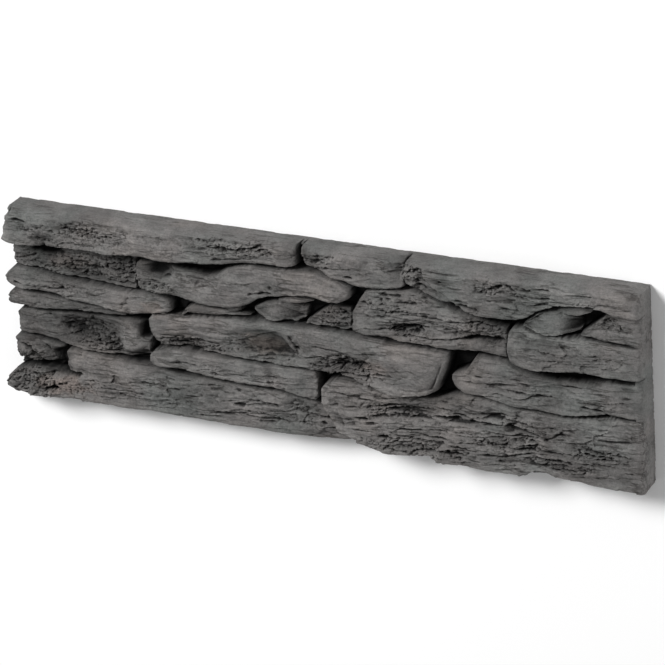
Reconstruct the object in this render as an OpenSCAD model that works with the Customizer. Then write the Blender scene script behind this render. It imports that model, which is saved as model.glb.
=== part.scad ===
// Cast concrete cladding tile with a ledgestone face.
// One casting: a flat-backed slab whose face carries courses of split stones.
// The tile lies on its back: X runs along the courses, Y up the wall, Z out of the wall.
// The origin is the centre of the tile's outline, on the back face.

/* [Tile] */
// Overall length, over the longest stone of the toothed end
tile_length = 500; // [460:5:540]
// Overall height of the face, across the courses
tile_height = 150; // [138:2:164]
// Thickness of the slab behind the stones, which is the floor of the joints
slab_thickness = 9; // [6:0.5:14]

/* [Stones] */
// Height of the proudest stone above the floor of the joints
relief_depth = 16; // [10:0.5:22]
// Width of the joint between two stones
joint_width = 1.8; // [0.8:0.1:2.6]
// Radius that rounds each stone's rim
rim_radius = 3; // [1:0.25:4]
// How far the middle of a stone's face swells over its rims
face_crown = 0.8; // [0:0.1:1.5]
// Height of the waves in a stone's split face
face_wave = 0.9; // [0:0.1:1.5]

/* [Straight end] */
// Width of the rim that closes the joints at the straight end
end_rim_width = 3; // [1:0.5:6]
// Height of that rim above the floor of the joints
end_rim_height = 8; // [4:0.5:12]
// Length over which the joints run out towards the rim
end_run_out = 7; // [3:0.5:12]

/* [Hidden] */

// The stones are drawn on a face of this size, and the drawing is stretched to the tile.
drawn_length = 507;
drawn_height = 152;
drawn_relief = 16;
// Middle of the drawing, in the drawing's own measures
drawn_mid_x = -1;
drawn_mid_y = -1;
// A value this far out on the drawing means that the stone runs to the tile's edge.
out = drawn_mid_y + drawn_height;
far = drawn_mid_x + drawn_length;
// Longest step between two sections of a stone, and between two points of a section
section_step = 8;
point_step = 8;
// Foot of the rim at the straight end, on the drawing
end_rim_foot = -68;
// The casting is poured this much too deep, and its back is struck off flat.
screed_allowance = 2;
// It is cast this much too long at the straight end, and the end is cut flush.
end_trim = 2;
// How much the walls of the joints lean, for each millimetre of their height
wall_draft = 0.04;
concrete_grey = [0.37, 0.36, 0.355];

// Each stone is a row of sections across its bed:
// [x, lower edge, upper edge, relief at the lower rim, relief at the upper rim]
STONES = [
    // Top course, from the toothed end to the straight end
    [[-246, 50, 56, 12, 10], [-243, 48.5, 67, 14, 11], [-239, 47.5, 72, 15, 11], [-234, 47, out, 15, 11],
     [-216, 47, out, 15, 12], [-185, 49, out, 15, 12], [-160, 49, out, 15, 13], [-134, 50.5, out, 15, 13],
     [-109, 49, out, 15, 13], [-69, 52.5, out, 14, 12], [-39, 57, out, 14, 12], [-5, 58.5, out, 14, 12]],
    [[-4, 59, out, 6, 8], [6, 59, out, 9, 11], [14, 57, out, 10, 12], [24, 53, out, 10, 12],
     [34, 51, out, 11, 12], [49, 50, out, 12, 12], [64, 52.5, out, 12, 12], [78, 55, out, 12, 12]],
    [[77, 58, out, 12, 12], [92, 54, out, 12, 13], [106, 48, out, 12, 14], [115, 46, out, 12, 14],
     [124, 41, out, 12, 14], [140, 42, out, 12, 14], [160, 42, out, 12, 14], [168, 45, out, 12, 14],
     [180, 53, out, 13, 14], [195, 59, out, 14, 14], [220, 61, out, 15, 14], [237, 57, out, 15, 14],
     [far, 55, out, 15, 14]],
    // Second course
    [[-241, 31, 44, 4, 3], [-237, 27.5, 46, 6, 5], [-222, 26.5, 47, 6, 2], [-205, 24.5, 48, 6, 2],
     [-196, 23.5, 49, 6, 6], [-170, 22, 49, 6, 6], [-137, 20.5, 50, 6, 6]],
    [[-138, 26, 44, 8, 6], [-133, 22, 47, 10, 8], [-126, 21.5, 46, 10, 4], [-115, 21.5, 46, 10, 4],
     [-104, 20.5, 44.5, 10, 6], [-92, 19, 43, 11, 8], [-80, 18, 42, 12, 9], [-72, 18, 45, 12, 10],
     [-60, 18.5, 52, 10, 12],
     [-50, 21, 55, 8, 13], [-40, 28, 56, 8, 13], [-25, 33, 56, 11, 13], [-10, 36, 57.5, 12, 13],
     [8, 38, 57.5, 13, 12], [23, 35, 53, 13, 12], [31, 38, 50, 12, 11], [36, 41, 48, 9, 9]],
    [[-104, 6, 8, 5, 5], [-99, 6.5, 14, 7, 7], [-92, 7, 17, 7, 6], [-75, 8.5, 17, 7, 5],
     [-60, 10, 17, 7, 4], [-46, 11, 16, 6, 3]],
    [[-46, 18, 22, 6, 6], [-38, 14, 26, 8, 9], [-30, 12.5, 30, 10, 10], [-27, 12.5, 30, 10, 10],
     [-18, 12.5, 30, 6, 7], [-8, 13, 30, 4, 5], [0, 20, 31, 3, 4]],
    [[-25, 29, 32, 6, 6], [-19, 28, 35, 9, 8], [-8, 29, 37, 9, 8], [5, 32, 36, 5, 5]],
    [[-5, 13, 17, 4, 3], [4, 13, 23, 6, 5], [10, 12, 29, 6, 5], [20, 12, 32, 6, 4], [34, 13, 33, 6, 4]],
    [[33, 17, 29, 9, 9], [38, 14, 37, 11, 10], [44, 13, 48, 11, 9], [55, 14, 51, 11, 11],
     [68, 12, 53, 11, 11], [82, 12.5, 54, 11, 11], [94, 12.5, 52, 11, 11], [106, 11, 46, 11, 11],
     [120, 12, 42, 10, 9], [135, 12.5, 38, 10, 9], [153, 11.5, 35, 9, 8]],
    [[153, 17, 31, 11, 11], [156, 10, 37, 14, 12], [161, 7.5, 39, 15, 12], [167, 7, 38, 15, 12],
     [175, 7, 35, 15, 12], [190, 8.5, 35, 15, 13], [200, 10, 36, 15, 13], [215, 10, 37, 15, 13],
     [232, 10, 36, 15, 13], [far, 11, 34.5, 15, 14]],
    [[163, 38, 40, 6, 5], [170, 35.5, 47, 9, 8], [178, 34, 53, 11, 9], [190, 34, 55, 11, 8],
     [197, 35, 52, 6, 6], [205, 36, 51, 4, 4], [210, 41, 50, 3, 3]],
    [[187, 50, 54, 6, 6], [195, 51, 58, 9, 8], [206, 52, 60, 9, 8], [217, 55, 60, 6, 6]],
    [[205, 36, 39, 5, 5], [213, 36, 44, 8, 6], [220, 34.5, 52, 9, 7], [228, 34, 57, 10, 8],
     [240, 33.5, 57, 11, 9], [far, 33.5, 55, 12, 11]],
    // Third course
    [[-247, 15, 19, 9, 8], [-243, 11, 24, 10, 9], [-237, 9.5, 28, 10, 10], [-220, 10.5, 26.5, 11, 11],
     [-207, 9.5, 25, 11, 11], [-197, 6.5, 24, 11, 11], [-180, 5.5, 23, 11, 11], [-160, 4, 22, 12, 11],
     [-146, 2.5, 21, 12, 11], [-130, 4, 21.5, 12, 10], [-117, 6.5, 21, 10, 8], [-109, 8, 17, 7, 5]],
    [[-247, -3, 3, 7, 7], [-243, -5, 8, 9, 8], [-233, -5.5, 8.5, 9, 8], [-215, -4.5, 8, 9, 8],
     [-200, -3.5, 6, 9, 7], [-180, -3, 4, 8, 7], [-160, -2, 3, 8, 6], [-148, -1.5, 2, 7, 5]],
    [[-242, -28, -11, 5, 5], [-238, -28.5, -7, 6, 6], [-220, -29.5, -6, 6, 7], [-200, -33, -5, 6, 7],
     [-178, -35.5, -4.5, 7, 7], [-160, -35.5, -3, 7, 6], [-145, -36, -2, 10, 9], [-129, -33, -2.5, 5, 5]],
    [[-130, -11, 2, 10, 10], [-126, -16, 5, 11, 11], [-120, -20, 6, 9, 12], [-100, -20, 8, 9, 12],
     [-80, -20, 10, 10, 12], [-60, -20, 12, 11, 12], [-36, -20, 13.5, 12, 13], [-10, -19.5, 14, 12, 13],
     [10, -21, 13.5, 11, 13], [30, -23, 13, 11, 13], [45, -24.5, 12, 13, 13], [56, -28, 11, 14, 13],
     [66, -29, 11, 15, 13], [78, -28, 11, 15, 13], [89, -27, 10.5, 14, 13], [97, -24, 10.5, 14, 13],
     [103, -12, 10.5, 13, 12], [109, 5, 10.5, 10, 8]],
    [[108, -10, -6.5, 8, 8], [112, -17, -4, 10, 9], [120, -20.8, -1, 11, 9], [124, -21, 10, 11, 9],
     [135, -21.5, 11, 12, 10], [150, -23, 10.5, 12, 10], [159, -24.5, 5, 12, 8], [175, -25, 1, 12, 8],
     [195, -25, 0.5, 12, 8], [213, -23, 2.5, 12, 9], [230, -20.5, 6, 12, 10], [far, -16, 8, 13, 12]],
    // Bottom courses
    [[-246, -40, -31, 6, 6], [-242, -47, -29.5, 8, 7], [-230, -50, -29, 8, 8], [-220, -50, -30.5, 5, 8],
     [-212, -50, -32, 2, 8], [-204, -50, -34, 2, 7]],
    [[-256, -73, -68, 8, 8], [-250, -75, -60, 12, 9], [-242, -76, -55, 12, 9], [-230, -76.5, -53, 12, 10],
     [-214, -76, -52.5, 12, 9], [-200, -75.3, -54, 12, 8], [-185, -75.3, -60, 11, 8]],
    [[-203, -62, -36, 7, 8], [-197, -74.8, -33.5, 10, 9], [-180, -75.3, -34, 11, 10],
     [-165, -76, -35, 11, 10], [-148, -75.2, -36, 11, 10], [-122, -75, -38.5, 11, 9],
     [-100, -75.5, -40, 11, 10], [-65, -75.5, -41, 11, 10], [-25, -75.5, -42, 11, 10],
     [-5, -75, -44.5, 10, 9], [6, -75, -46, 9, 7], [14, -74.5, -54, 8, 7], [25, -74, -60, 7, 6],
     [37, -73, -66, 5, 5]],
    [[-131, -34, -27, 10, 10], [-126, -36, -22.5, 12, 11], [-115, -36.5, -20, 12, 11], [-96, -36.5, -19.5, 12, 11],
     [-80, -39, -20, 12, 11], [-50, -40, -20.5, 12, 12], [-22, -41, -20, 12, 12], [-8, -43.5, -20, 12, 11],
     [2, -44.5, -21, 10, 9], [6, -42, -25, 6, 6]],
    [[7, -42, -32, 13, 12], [11, -47, -27, 15, 13], [15, -62, -25, 16, 13], [19, -65, -24, 16, 13],
     [26, -67, -23.5, 16, 13], [41, -71.5, -24.5, 16, 12], [56, -76, -28.5, 16, 10], [70, -76, -29.5, 15, 9],
     [80, -75, -29, 15, 8], [95, -77, -27, 15, 6], [110, -out, -22.5, 15, 6], [124, -out, -21.5, 15, 10],
     [145, -out, -23, 15, 11], [165, -75.8, -25.5, 14, 11], [190, -74.6, -26, 14, 11],
     [215, -75, -24, 14, 12], [235, -75.5, -21, 15, 13], [far, -74.5, -17.5, 15, 14]]
];

// Outline of the slab on the drawing, anticlockwise from the straight end's foot
SLAB = [
    [far, -72], [far, out], [-233, out], [-237, 70], [-238, 60], [-238, 30], [-241, 18], [-238, 8],
    [-242, 0], [-238, -10], [-239, -28], [-242, -45], [-246, -58], [-249, -70], [-243, -73], [-205, -73],
    [30, -73], [50, -71], [75, -72], [210, -72]
];

// Hollows where the stone has split away deeper, on the drawing: [x, y, reach along X, reach along Y, depth]
HOLLOWS = [
    [-38, -5, 30, 15, 4], [28, -13, 26, 10, 5], [118, 52, 16, 6, 7], [86, 66, 8, 9, 5],
    [152, -51, 26, 8, 5.5], [75, -41, 30, 7, 3.5], [-146, -33, 16, 6, 5], [75, 22, 18, 7, 5],
    [-50, 67, 34, 10, 2.5], [32, 57, 7, 4, 5], [-95, -14, 30, 8, 3.5], [-175, 36, 18, 9, 2],
    [-183, 65, 22, 8, 1], [178, -62, 22, 6, 2.5], [-183, -15, 22, 10, 3.5], [-208, -41, 8, 7, 5],
    [-206, 53, 14, 9, 1.5], [90, -66, 34, 8, 3.5], [216, -47, 18, 5, 2], [-117, 40, 11, 8, 4.5],
    [148, 66, 18, 8, 3], [133, 25, 20, 5, 4], [-12, -55, 18, 12, 1.5], [80, 45, 8, 4, 2],
    [-137, 12, 6, 10, 1.5], [-168, 9, 7, 8, 1.2], [140, -46, 50, 5, 1.5], [60, -62, 20, 4, 2],
    [-210, 43, 16, 5, 4], [-165, -25, 14, 5, 3], [-30, -36, 24, 6, 2], [-218, -67, 12, 5, 2]
];

// Flat facets that cut a stone's face, on the drawing:
// [stone, x, y, direction in which it falls, relief at that point, fall for each millimetre]
FACETS = [
    [0, -15, 66, 0, 14, 0.7], [1, 70, 62, 10, 13, 0.4], [6, -28, 20, 200, 10.5, 0.35], [6, -27, 20, -10, 10.5, 0.3],
    [11, 188, 42, 0, 11.5, 0.5], [11, 180, 42, 200, 11.5, 0.3], [17, 97, -3, -25, 13.5, 0.75]
];

function within(v, half) = max(-half, min(half, v));
function stretch_x(x) = within((x - drawn_mid_x) * tile_length / drawn_length, tile_length / 2);
function stretch_y(y) = within((y - drawn_mid_y) * tile_height / drawn_height, tile_height / 2);
function relief(r) = slab_thickness + r * relief_depth / drawn_relief;

// Slope of one column at a station, for a smooth curve through all stations
function slope(stations, k, column) =
    let (
        before = stations[max(0, k - 1)],
        after = stations[min(len(stations) - 1, k + 1)]
    )
    (after[column] - before[column]) / (after[0] - before[0]);

// The station whose span holds x
function span_of(stations, x, k = 0) =
    k >= len(stations) - 2 || x < stations[k + 1][0] ? k : span_of(stations, x, k + 1);

// One column of a stone's table, read smoothly at x
function read_at(stations, column, x) =
    let (
        k = span_of(stations, x),
        a = stations[k],
        b = stations[k + 1],
        width = b[0] - a[0],
        t = (x - a[0]) / width,
        s = t * t * (3 - 2 * t),
        bend = t * (1 - t) * width,
        bow = bend * (slope(stations, k, column) * (1 - t) - slope(stations, k + 1, column) * t)
    )
    a[column] * (1 - s) + b[column] * s + bow * 0.7;

// How deep the hollows are at a point of the drawing
function hollow(x, y, k = 0) =
    k == len(HOLLOWS) ? 0 :
    let (
        h = HOLLOWS[k],
        u = (x - h[0]) / h[2],
        v = (y - h[1]) / h[3],
        bowl = max(0, 1 - u * u - v * v)
    )
    h[4] * bowl * (2 - bowl) + hollow(x, y, k + 1);

// The lowest of a stone's facets at a point of the drawing
function facet(number, x, y, k = 0) =
    k == len(FACETS) ? relief_depth * 2 :
    let (
        f = FACETS[k],
        beyond = (x - f[1]) * cos(f[3]) + (y - f[2]) * sin(f[3]),
        here = f[0] == number ? f[4] - f[5] * beyond : relief_depth * 2
    )
    min(here, facet(number, x, y, k + 1));

// How far a rounded rim has dropped at a given distance in from the two nearest edges
function rim_drop(in_x, in_y, radius) =
    let (
        a = max(0, 1 - in_x / radius),
        b = max(0, 1 - in_y / radius)
    )
    radius * (1 - sqrt(max(0, 1 - a * a - b * b)));

// Section of a stone at x on the drawing, as a ring of points from the lower foot over the face
function section(stations, x, place_x, in_x, number, spans) =
    let (
        low_edge = read_at(stations, 1, x),
        high_edge = read_at(stations, 2, x),
        low = stretch_y(low_edge) + joint_width / 2,
        high = stretch_y(high_edge) - (high_edge < drawn_mid_y + drawn_height / 2 ? joint_width / 2 : 0),
        tall = max(1, high - low),
        z_low = relief(read_at(stations, 3, x)),
        z_high = relief(read_at(stations, 4, x)),
        radius = min(rim_radius, tall / 3),
        middle = [for (i = [0 : spans]) radius + (tall - 2 * radius) * i / spans],
        insets = concat([0, 0.3 * radius], middle, [tall - 0.3 * radius, tall]),
        foot_low = within(low - wall_draft * z_low, tile_height / 2),
        foot_high = within(high + wall_draft * z_high, tile_height / 2)
    )
    [
        [place_x, foot_low, -screed_allowance],
        for (d = insets)
            let (
                y = low + d,
                t = d / tall,
                drawn_y = low_edge + (high_edge - low_edge) * t,
                swell = z_low + (z_high - z_low) * t + 4 * face_crown * t * (1 - t),
                face = min(swell, relief(facet(number, x, drawn_y))),
                wave = face_wave * sin(x * 9 + number * 77) * cos(y * 14 + number * 41),
                drop = rim_drop(in_x, min(d, tall - d), radius)
            )
            [place_x, y, max(slab_thickness / 2, face + wave - drop - hollow(x, drawn_y))],
        [place_x, foot_high, -screed_allowance]
    ];

// A stone lofted through its stations, standing on the back
module stone(stations, number) {
    first = stations[0][0];
    last = stations[len(stations) - 1][0];
    at_end = last >= drawn_mid_x + drawn_length / 2;
    left = stretch_x(first) + (first > drawn_mid_x - drawn_length / 2 ? joint_width / 2 : 0);
    right = stretch_x(last) - (at_end ? 0 : joint_width / 2);
    steps = ceil((right - left - 2 * rim_radius) / section_step);
    inner = [for (i = [0 : steps]) left + rim_radius + (right - left - 2 * rim_radius) * i / steps];
    places = concat(
        [left, left + 0.3 * rim_radius], inner, [right - 0.3 * rim_radius, right],
        at_end ? [right + end_trim] : []
    );
    spans = max(2, ceil((max([for (s = stations) stretch_y(s[2]) - stretch_y(s[1])]) - 2 * rim_radius) / point_step));
    rings = [
        for (p = places)
            let (x = max(first, min(last, p * drawn_length / tile_length + drawn_mid_x)))
            section(stations, x, p, max(0, min(p - left, right - p)), number, spans)
    ];
    n = len(rings[0]);
    count = len(rings);
    sides = [
        for (i = [0 : count - 2], j = [0 : n - 1])
            let (a = i * n + j, b = i * n + (j + 1) % n)
            each [[a, b, b + n], [a, b + n, a + n]]
    ];
    caps = [
        for (base = [0, (count - 1) * n], j = [0 : ceil(n / 2 - 1.5) - 1])
            let (a = base + j, b = base + j + 1, c = base + n - 2 - j, d = base + n - 1 - j)
            each base == 0 ? [[a, c, b], [a, d, c]] : [[a, b, c], [a, c, d]],
        // With an odd count of points, a triangle is left over in the middle.
        if (n % 2 == 1)
            for (base = [0, (count - 1) * n])
                let (m = base + (n - 1) / 2)
                base == 0 ? [m - 1, m + 1, m] : [m - 1, m, m + 1]
    ];
    polyhedron(points = [for (ring = rings) each ring], faces = concat(sides, caps), convexity = 4);
}

module slab() {
    translate([0, 0, -screed_allowance])
        linear_extrude(slab_thickness + screed_allowance)
            polygon([
                for (p = SLAB)
                    [stretch_x(p[0]) + (p[0] == far ? end_trim : 0), stretch_y(p[1])]
            ]);
}

// Rim along the straight end, into which the joints run out
module end_rim() {
    foot = stretch_y(end_rim_foot);
    head = stretch_y(out);
    top = slab_thickness + end_rim_height;
    profile = [
        [end_trim, -screed_allowance], [end_trim, top - 1], [0, top - 1], [-1, top], [-end_rim_width, top],
        [-end_rim_width - end_run_out, slab_thickness], [-end_rim_width - end_run_out, -screed_allowance]
    ];
    translate([tile_length / 2, head, 0])
        rotate([90, 0, 0])
            linear_extrude(head - foot)
                polygon(profile);
}

// The casting before it is trimmed, trued from the straight end to the tile's length and height
module casting() {
    straight_end = tile_length / 2 + end_trim;
    translate([straight_end, 0, 0])
        resize([tile_length + end_trim, tile_height, 0])
            translate([-straight_end, 0, 0]) {
                slab();
                end_rim();
                for (i = [0 : len(STONES) - 1]) stone(STONES[i], i);
            }
}

module cladding_tile() {
    color(concrete_grey)
        difference() {
            casting();
            // What the screed takes off the back
            translate([-tile_length, -tile_height, -2 * screed_allowance])
                cube([2 * tile_length, 2 * tile_height, 2 * screed_allowance]);
            // What the cut takes off the straight end
            translate([tile_length / 2, -tile_height, -screed_allowance])
                cube([2 * end_trim, 2 * tile_height, 10 * relief_depth]);
        }
}

cladding_tile();
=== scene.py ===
# %% [markdown]
# # A cast concrete cladding tile with a ledgestone face
# The real tile is one casting. Concrete is poured into a rubber mould that was taken from split
# stones, its back is struck off flat, and the set tile is glued to a wall. This lesson loads the
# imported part, gives its face the fine split relief of the mould, finishes it as matt dark concrete,
# and lights it softly on a pale floor. The tile lies on its back: X runs along the courses, Y up the
# wall, and Z out of the wall.

# %% Load the casting
import functools
import math
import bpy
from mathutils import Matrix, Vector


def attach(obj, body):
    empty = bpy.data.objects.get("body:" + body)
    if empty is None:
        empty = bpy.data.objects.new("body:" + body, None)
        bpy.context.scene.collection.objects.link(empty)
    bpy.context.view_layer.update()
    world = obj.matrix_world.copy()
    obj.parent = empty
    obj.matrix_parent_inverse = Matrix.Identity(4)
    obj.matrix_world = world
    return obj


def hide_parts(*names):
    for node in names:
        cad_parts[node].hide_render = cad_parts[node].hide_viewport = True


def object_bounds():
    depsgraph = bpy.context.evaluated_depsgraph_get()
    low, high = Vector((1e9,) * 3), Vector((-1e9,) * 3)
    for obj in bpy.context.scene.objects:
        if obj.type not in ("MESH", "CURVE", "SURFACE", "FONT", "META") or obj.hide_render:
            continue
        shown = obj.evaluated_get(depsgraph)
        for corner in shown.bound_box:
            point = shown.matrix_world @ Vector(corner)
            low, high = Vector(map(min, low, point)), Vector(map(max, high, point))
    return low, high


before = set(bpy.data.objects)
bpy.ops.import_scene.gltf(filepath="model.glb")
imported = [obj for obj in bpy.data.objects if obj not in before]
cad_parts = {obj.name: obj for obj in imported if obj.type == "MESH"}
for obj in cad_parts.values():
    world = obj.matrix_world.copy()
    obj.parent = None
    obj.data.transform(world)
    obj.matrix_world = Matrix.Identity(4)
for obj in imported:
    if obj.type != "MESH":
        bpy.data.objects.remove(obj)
cad_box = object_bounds()
print("casting, lowest and highest corner in metres:")
print([tuple(round(c, 4) for c in corner) for corner in cad_box])

# %% [markdown]
# ## Camera
# The tile is seen from its upper right, far away with a long lens, so its courses stay nearly
# parallel. Three axes say how the camera is turned: its own right, its own up, and the way back
# from the tile to the lens. A long lens far off was chosen over a near, wide one because the far
# end of the tile is hardly smaller than the near end.

# %% Set up the camera
import bmesh
import bpy
import numpy as np
from mathutils import Matrix, Vector
from mathutils.bvhtree import BVHTree

MM = 0.001
camera_right = Vector((0.9018, -0.0615, -0.4277))
camera_up = Vector((-0.1349, 0.9003, -0.4139))
camera_back = Vector((0.4105, 0.4310, 0.8036))
camera_place = Vector((1129.8, 1178.8, 2192.8)) * MM
image_side = 665
focal_in_image_units = 3900

camera = bpy.data.objects.new("view_camera", bpy.data.cameras.new("view_camera"))
bpy.context.scene.collection.objects.link(camera)
turn = Matrix((camera_right, camera_up, camera_back)).transposed().to_4x4()
camera.matrix_world = Matrix.Translation(camera_place) @ turn
camera.data.sensor_width = 36.0
camera.data.lens = camera.data.sensor_width * focal_in_image_units / image_side
bpy.context.scene.camera = camera
print("lens in mm:", round(camera.data.lens, 1), "distance in m:", round(camera_place.length, 2))

# %% [markdown]
# ## Measure the casting from above
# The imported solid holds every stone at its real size, but with flat facets some 8 mm long. The
# shown tile is a fine skin over it: a net of points half a millimetre apart, dropped onto the solid
# with rays. A net was chosen over subdividing the solid because its points are evenly spread, so fine
# cracks come out equally sharp everywhere. The net's left side follows the toothed end and its lower
# side follows the bottom course. Only the top stone's end is moved a little: the mould has it a few
# millimetres further in, with its upper corner further out.

# %% Read the outline of the casting
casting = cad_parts["cladding_tile"]
solid = BVHTree.FromObject(casting, bpy.context.evaluated_depsgraph_get())
low, high = [np.array(corner) / MM for corner in cad_box]
probe_heights = (1.0, 4.0, 7.0, 10.0, 13.0, 16.0, 19.0)
outside = 20.0
probe_step = 0.5
border = 3.0


def first_hit(start, direction):
    spot = solid.ray_cast(Vector(start) * MM, Vector(direction))[0]
    return None if spot is None else np.array(spot) / MM


def outermost(starts, direction, axis):
    hits = [first_hit(s, direction) for s in starts]
    return min(h[axis] for h in hits if h is not None)


margin = 0.2
from_the_left, from_below = (1, 0, 0), (0, 1, 0)
start_x, start_y = low[0] - outside, low[1] - outside
edge_y = np.arange(low[1] + margin, high[1] - margin, probe_step)
low_probe = probe_heights[1]
edge_y = edge_y[[first_hit((start_x, y, low_probe), from_the_left) is not None for y in edge_y]]
edge_x = np.arange(low[0] + border, high[0] - margin, probe_step)
left_end = np.array(
    [outermost([(start_x, y, z) for z in probe_heights], from_the_left, 0) for y in edge_y])
deepest_notch = 40
at_end = left_end < low[0] + deepest_notch
edge_y, left_end = edge_y[at_end], left_end[at_end]
lower_side = [outermost([(x, start_y, z) for z in probe_heights], from_below, 1) for x in edge_x]
samples_each_side = 12
samples = 2 * samples_each_side + 1
for smoothing_pass in range(2):
    padded_side = np.pad(lower_side, samples_each_side, mode="edge")
    lower_side = np.convolve(padded_side, np.full(samples, 1 / samples), "valid")
print("toothed end, deepest notch in mm:", round(left_end.max() - left_end.min(), 1))

# %% Move the top stone's end
END_HEIGHTS = [46, 54, 64, 70, 75]
END_INSETS = [0, 2.0, 2.0, -1.0, -4.0]
shown_end = np.maximum(left_end + np.interp(edge_y, END_HEIGHTS, END_INSETS), low[0] + 0.1)
print("top stone's end moved in mm:", min(END_INSETS), "to", max(END_INSETS))

# %% Lay the net
columns, rows = 860, 296
blend_length = 60.0
across = np.linspace(0, 1, columns)[None, :]
up = np.linspace(0, 1, rows)[:, None]
regular_x = low[0] + across * (high[0] - low[0])
foot = np.interp(np.maximum(regular_x, low[0] + border), edge_x, lower_side)
net_y = foot + up * (high[1] - foot)
shift = np.interp(net_y, edge_y, shown_end) - low[0]
net_x = regular_x + shift * np.clip(1 - (regular_x - low[0]) / blend_length, 0, 1) ** 2
step_x = (high[0] - low[0]) / (columns - 1)
step_y = (high[1] - low[1]) / (rows - 1)
print("net points:", rows * columns, "apart in mm:", round(step_x, 2), "and", round(step_y, 2))

# %% Drop the net onto the casting
nudge = 0.3
floor_height = 9.0
above_all = 60.0
down = Vector((0, 0, -1))
solid_height = np.zeros((rows, columns))
tries = [(-0.15, -0.12), (0.15, 0.12)]
first_x = np.maximum(net_x[:, :1], np.interp(net_y[:, :1], edge_y, left_end)) + nudge
for off_x, off_y in tries:
    ray_x = np.clip(net_x + off_x, first_x, high[0] - nudge)
    ray_y = np.clip(net_y + off_y, net_y[:1, :] + nudge, high[1] - nudge)
    for j in range(rows):
        for i in range(columns):
            hit = solid.ray_cast(Vector((ray_x[j, i], ray_y[j, i], above_all)) * MM, down)[0]
            solid_height[j, i] += (floor_height if hit is None else hit.z / MM) / len(tries)
print("highest point of the face in mm:", round(solid_height.max(), 2))

# %% [markdown]
# ## Smooth away the facets
# The solid's facets would show as flat triangles. A plain blur would also wash out the joints, so
# each point is averaged only with neighbours at nearly its own height. On the steep walls of the
# joints a short plain blur is used instead, because there the net would show as little teeth.

# %% Smooth within each stone
def shifted(field, rows_up, columns_right):
    side = max(abs(rows_up), abs(columns_right))
    padded = np.pad(field, side, mode="edge")
    first_row, first_column = side + rows_up, side + columns_right
    return padded[first_row:first_row + field.shape[0], first_column:first_column + field.shape[1]]


def cells_within(reach):
    """Steps across the net, up and to the right, that stay within a reach in millimetres."""
    up_and_down = range(-int(reach / step_y), int(reach / step_y) + 1)
    left_and_right = range(-int(reach / step_x), int(reach / step_x) + 1)
    return [(a, b) for a in up_and_down for b in left_and_right
            if (a * step_y) ** 2 + (b * step_x) ** 2 <= reach * reach]


def smooth_within(field, reach, height_reach):
    """Average with the neighbours in reach that differ in height by less than height_reach."""
    total = np.zeros_like(field)
    weight = np.zeros_like(field)
    for a, b in cells_within(1.9 * reach):
        near = shifted(field, a, b)
        w = math.exp(-((a * step_y) ** 2 + (b * step_x) ** 2) / (2 * reach * reach))
        w = w * np.exp(-((near - field) / height_reach) ** 2)
        total += w * near
        weight += w
    return total / weight


def step_up(low_end, high_end, field):
    """0 below low_end, 1 above high_end, and a smooth rise between."""
    t = np.clip((field - low_end) / (high_end - low_end), 0, 1)
    return t * t * (3 - 2 * t)


# Reach in mm, and the difference in height up to which a neighbour counts
any_height = 1e3
softened = smooth_within(solid_height, 0.55, any_height)
slope = np.hypot(*np.gradient(softened, step_y, step_x))
within = smooth_within(smooth_within(solid_height, 2.2, 1.6), 2.2, 1.2)
steep = step_up(0.75, 1.75, slope)
base_height = within * (1 - steep) + softened * steep
print("largest change by smoothing in mm:", round(np.abs(base_height - solid_height).max(), 2))

# %% [markdown]
# ## Joints
# In the mould the joints are narrow and dark, with crisp rims where two stones nearly touch. The
# rounded rims of the solid are made steeper, and a thin groove is cut at the foot of each step. The
# joints run out in a smooth band at the straight end, they are shallow at the top edge, and at a few
# places two stones run together. There the joint is closed by raising each point to the lowest
# height that a disc can reach when it is laid on the stones around it.

# %% Make the rims at the joints crisp
def highest_within(field, reach):
    return functools.reduce(np.maximum, (shifted(field, a, b) for a, b in cells_within(reach)))


def lowest_within(field, reach):
    return -highest_within(-field, reach)


joint_reach = 2.8
most_cut = 2.5
floor_near = lowest_within(base_height, joint_reach)
drop = np.maximum(highest_within(base_height, joint_reach) - floor_near, 0.1)
share_up = (base_height - floor_near) / drop
# Most of the drop now lies in the middle of the step, and a little of the old slope stays
crisp = floor_near + drop * (0.94 * step_up(0.10, 0.72, share_up) + 0.06 * share_up)
at_joint = step_up(3.0, 6.0, drop)
base_height = base_height * (1 - at_joint) + np.maximum(crisp, base_height - most_cut) * at_joint
rim_rows = 9
rim_fall = 4.5
for k in range(rim_rows):
    fall = rim_fall * (1 - k / rim_rows) ** 2
    base_height[k] = np.maximum(base_height[k], base_height[rim_rows] - fall)
print("share of the face beside a joint:", round(float((at_joint > 0.5).mean()), 2))

# %% Close the joints where stones run together
def closed_up(field, reach):
    return lowest_within(highest_within(field, reach), reach)


# Middle, and reach along X and Y
RUN_TOGETHER = [
    (-205, -61, 8, 13), (-150, 3, 26, 3.5), (-118, 6, 8, 4), (228, 34, 18, 3), (-60, 19, 10, 3)
]
dip_where_together, dip_in_band, dip_at_top = 0.9, 0.6, 6.5
closed = closed_up(base_height, 3.4)
for mx, my, rx, ry in RUN_TOGETHER:
    inside = 1 - step_up(0.7, 1.2, np.hypot((net_x - mx) / rx, (net_y - my) / ry))
    base_height += (closed - dip_where_together - base_height).clip(0) * inside
end_columns, top_rows = 40, 24
end_part = base_height[:, -end_columns:]
band_share = step_up(high[0] - 9, high[0] - 5, net_x[:, -end_columns:])
end_part += (closed_up(end_part, 5.0) - dip_in_band - end_part).clip(0) * band_share
top_part = base_height[-top_rows:]
top_share = step_up(high[1] - 4, high[1] - 1, net_y[-top_rows:])
top_part += (closed_up(top_part, 4.0) - dip_at_top - top_part).clip(0) * top_share
print("places where two stones run together:", len(RUN_TOGETHER))

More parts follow.
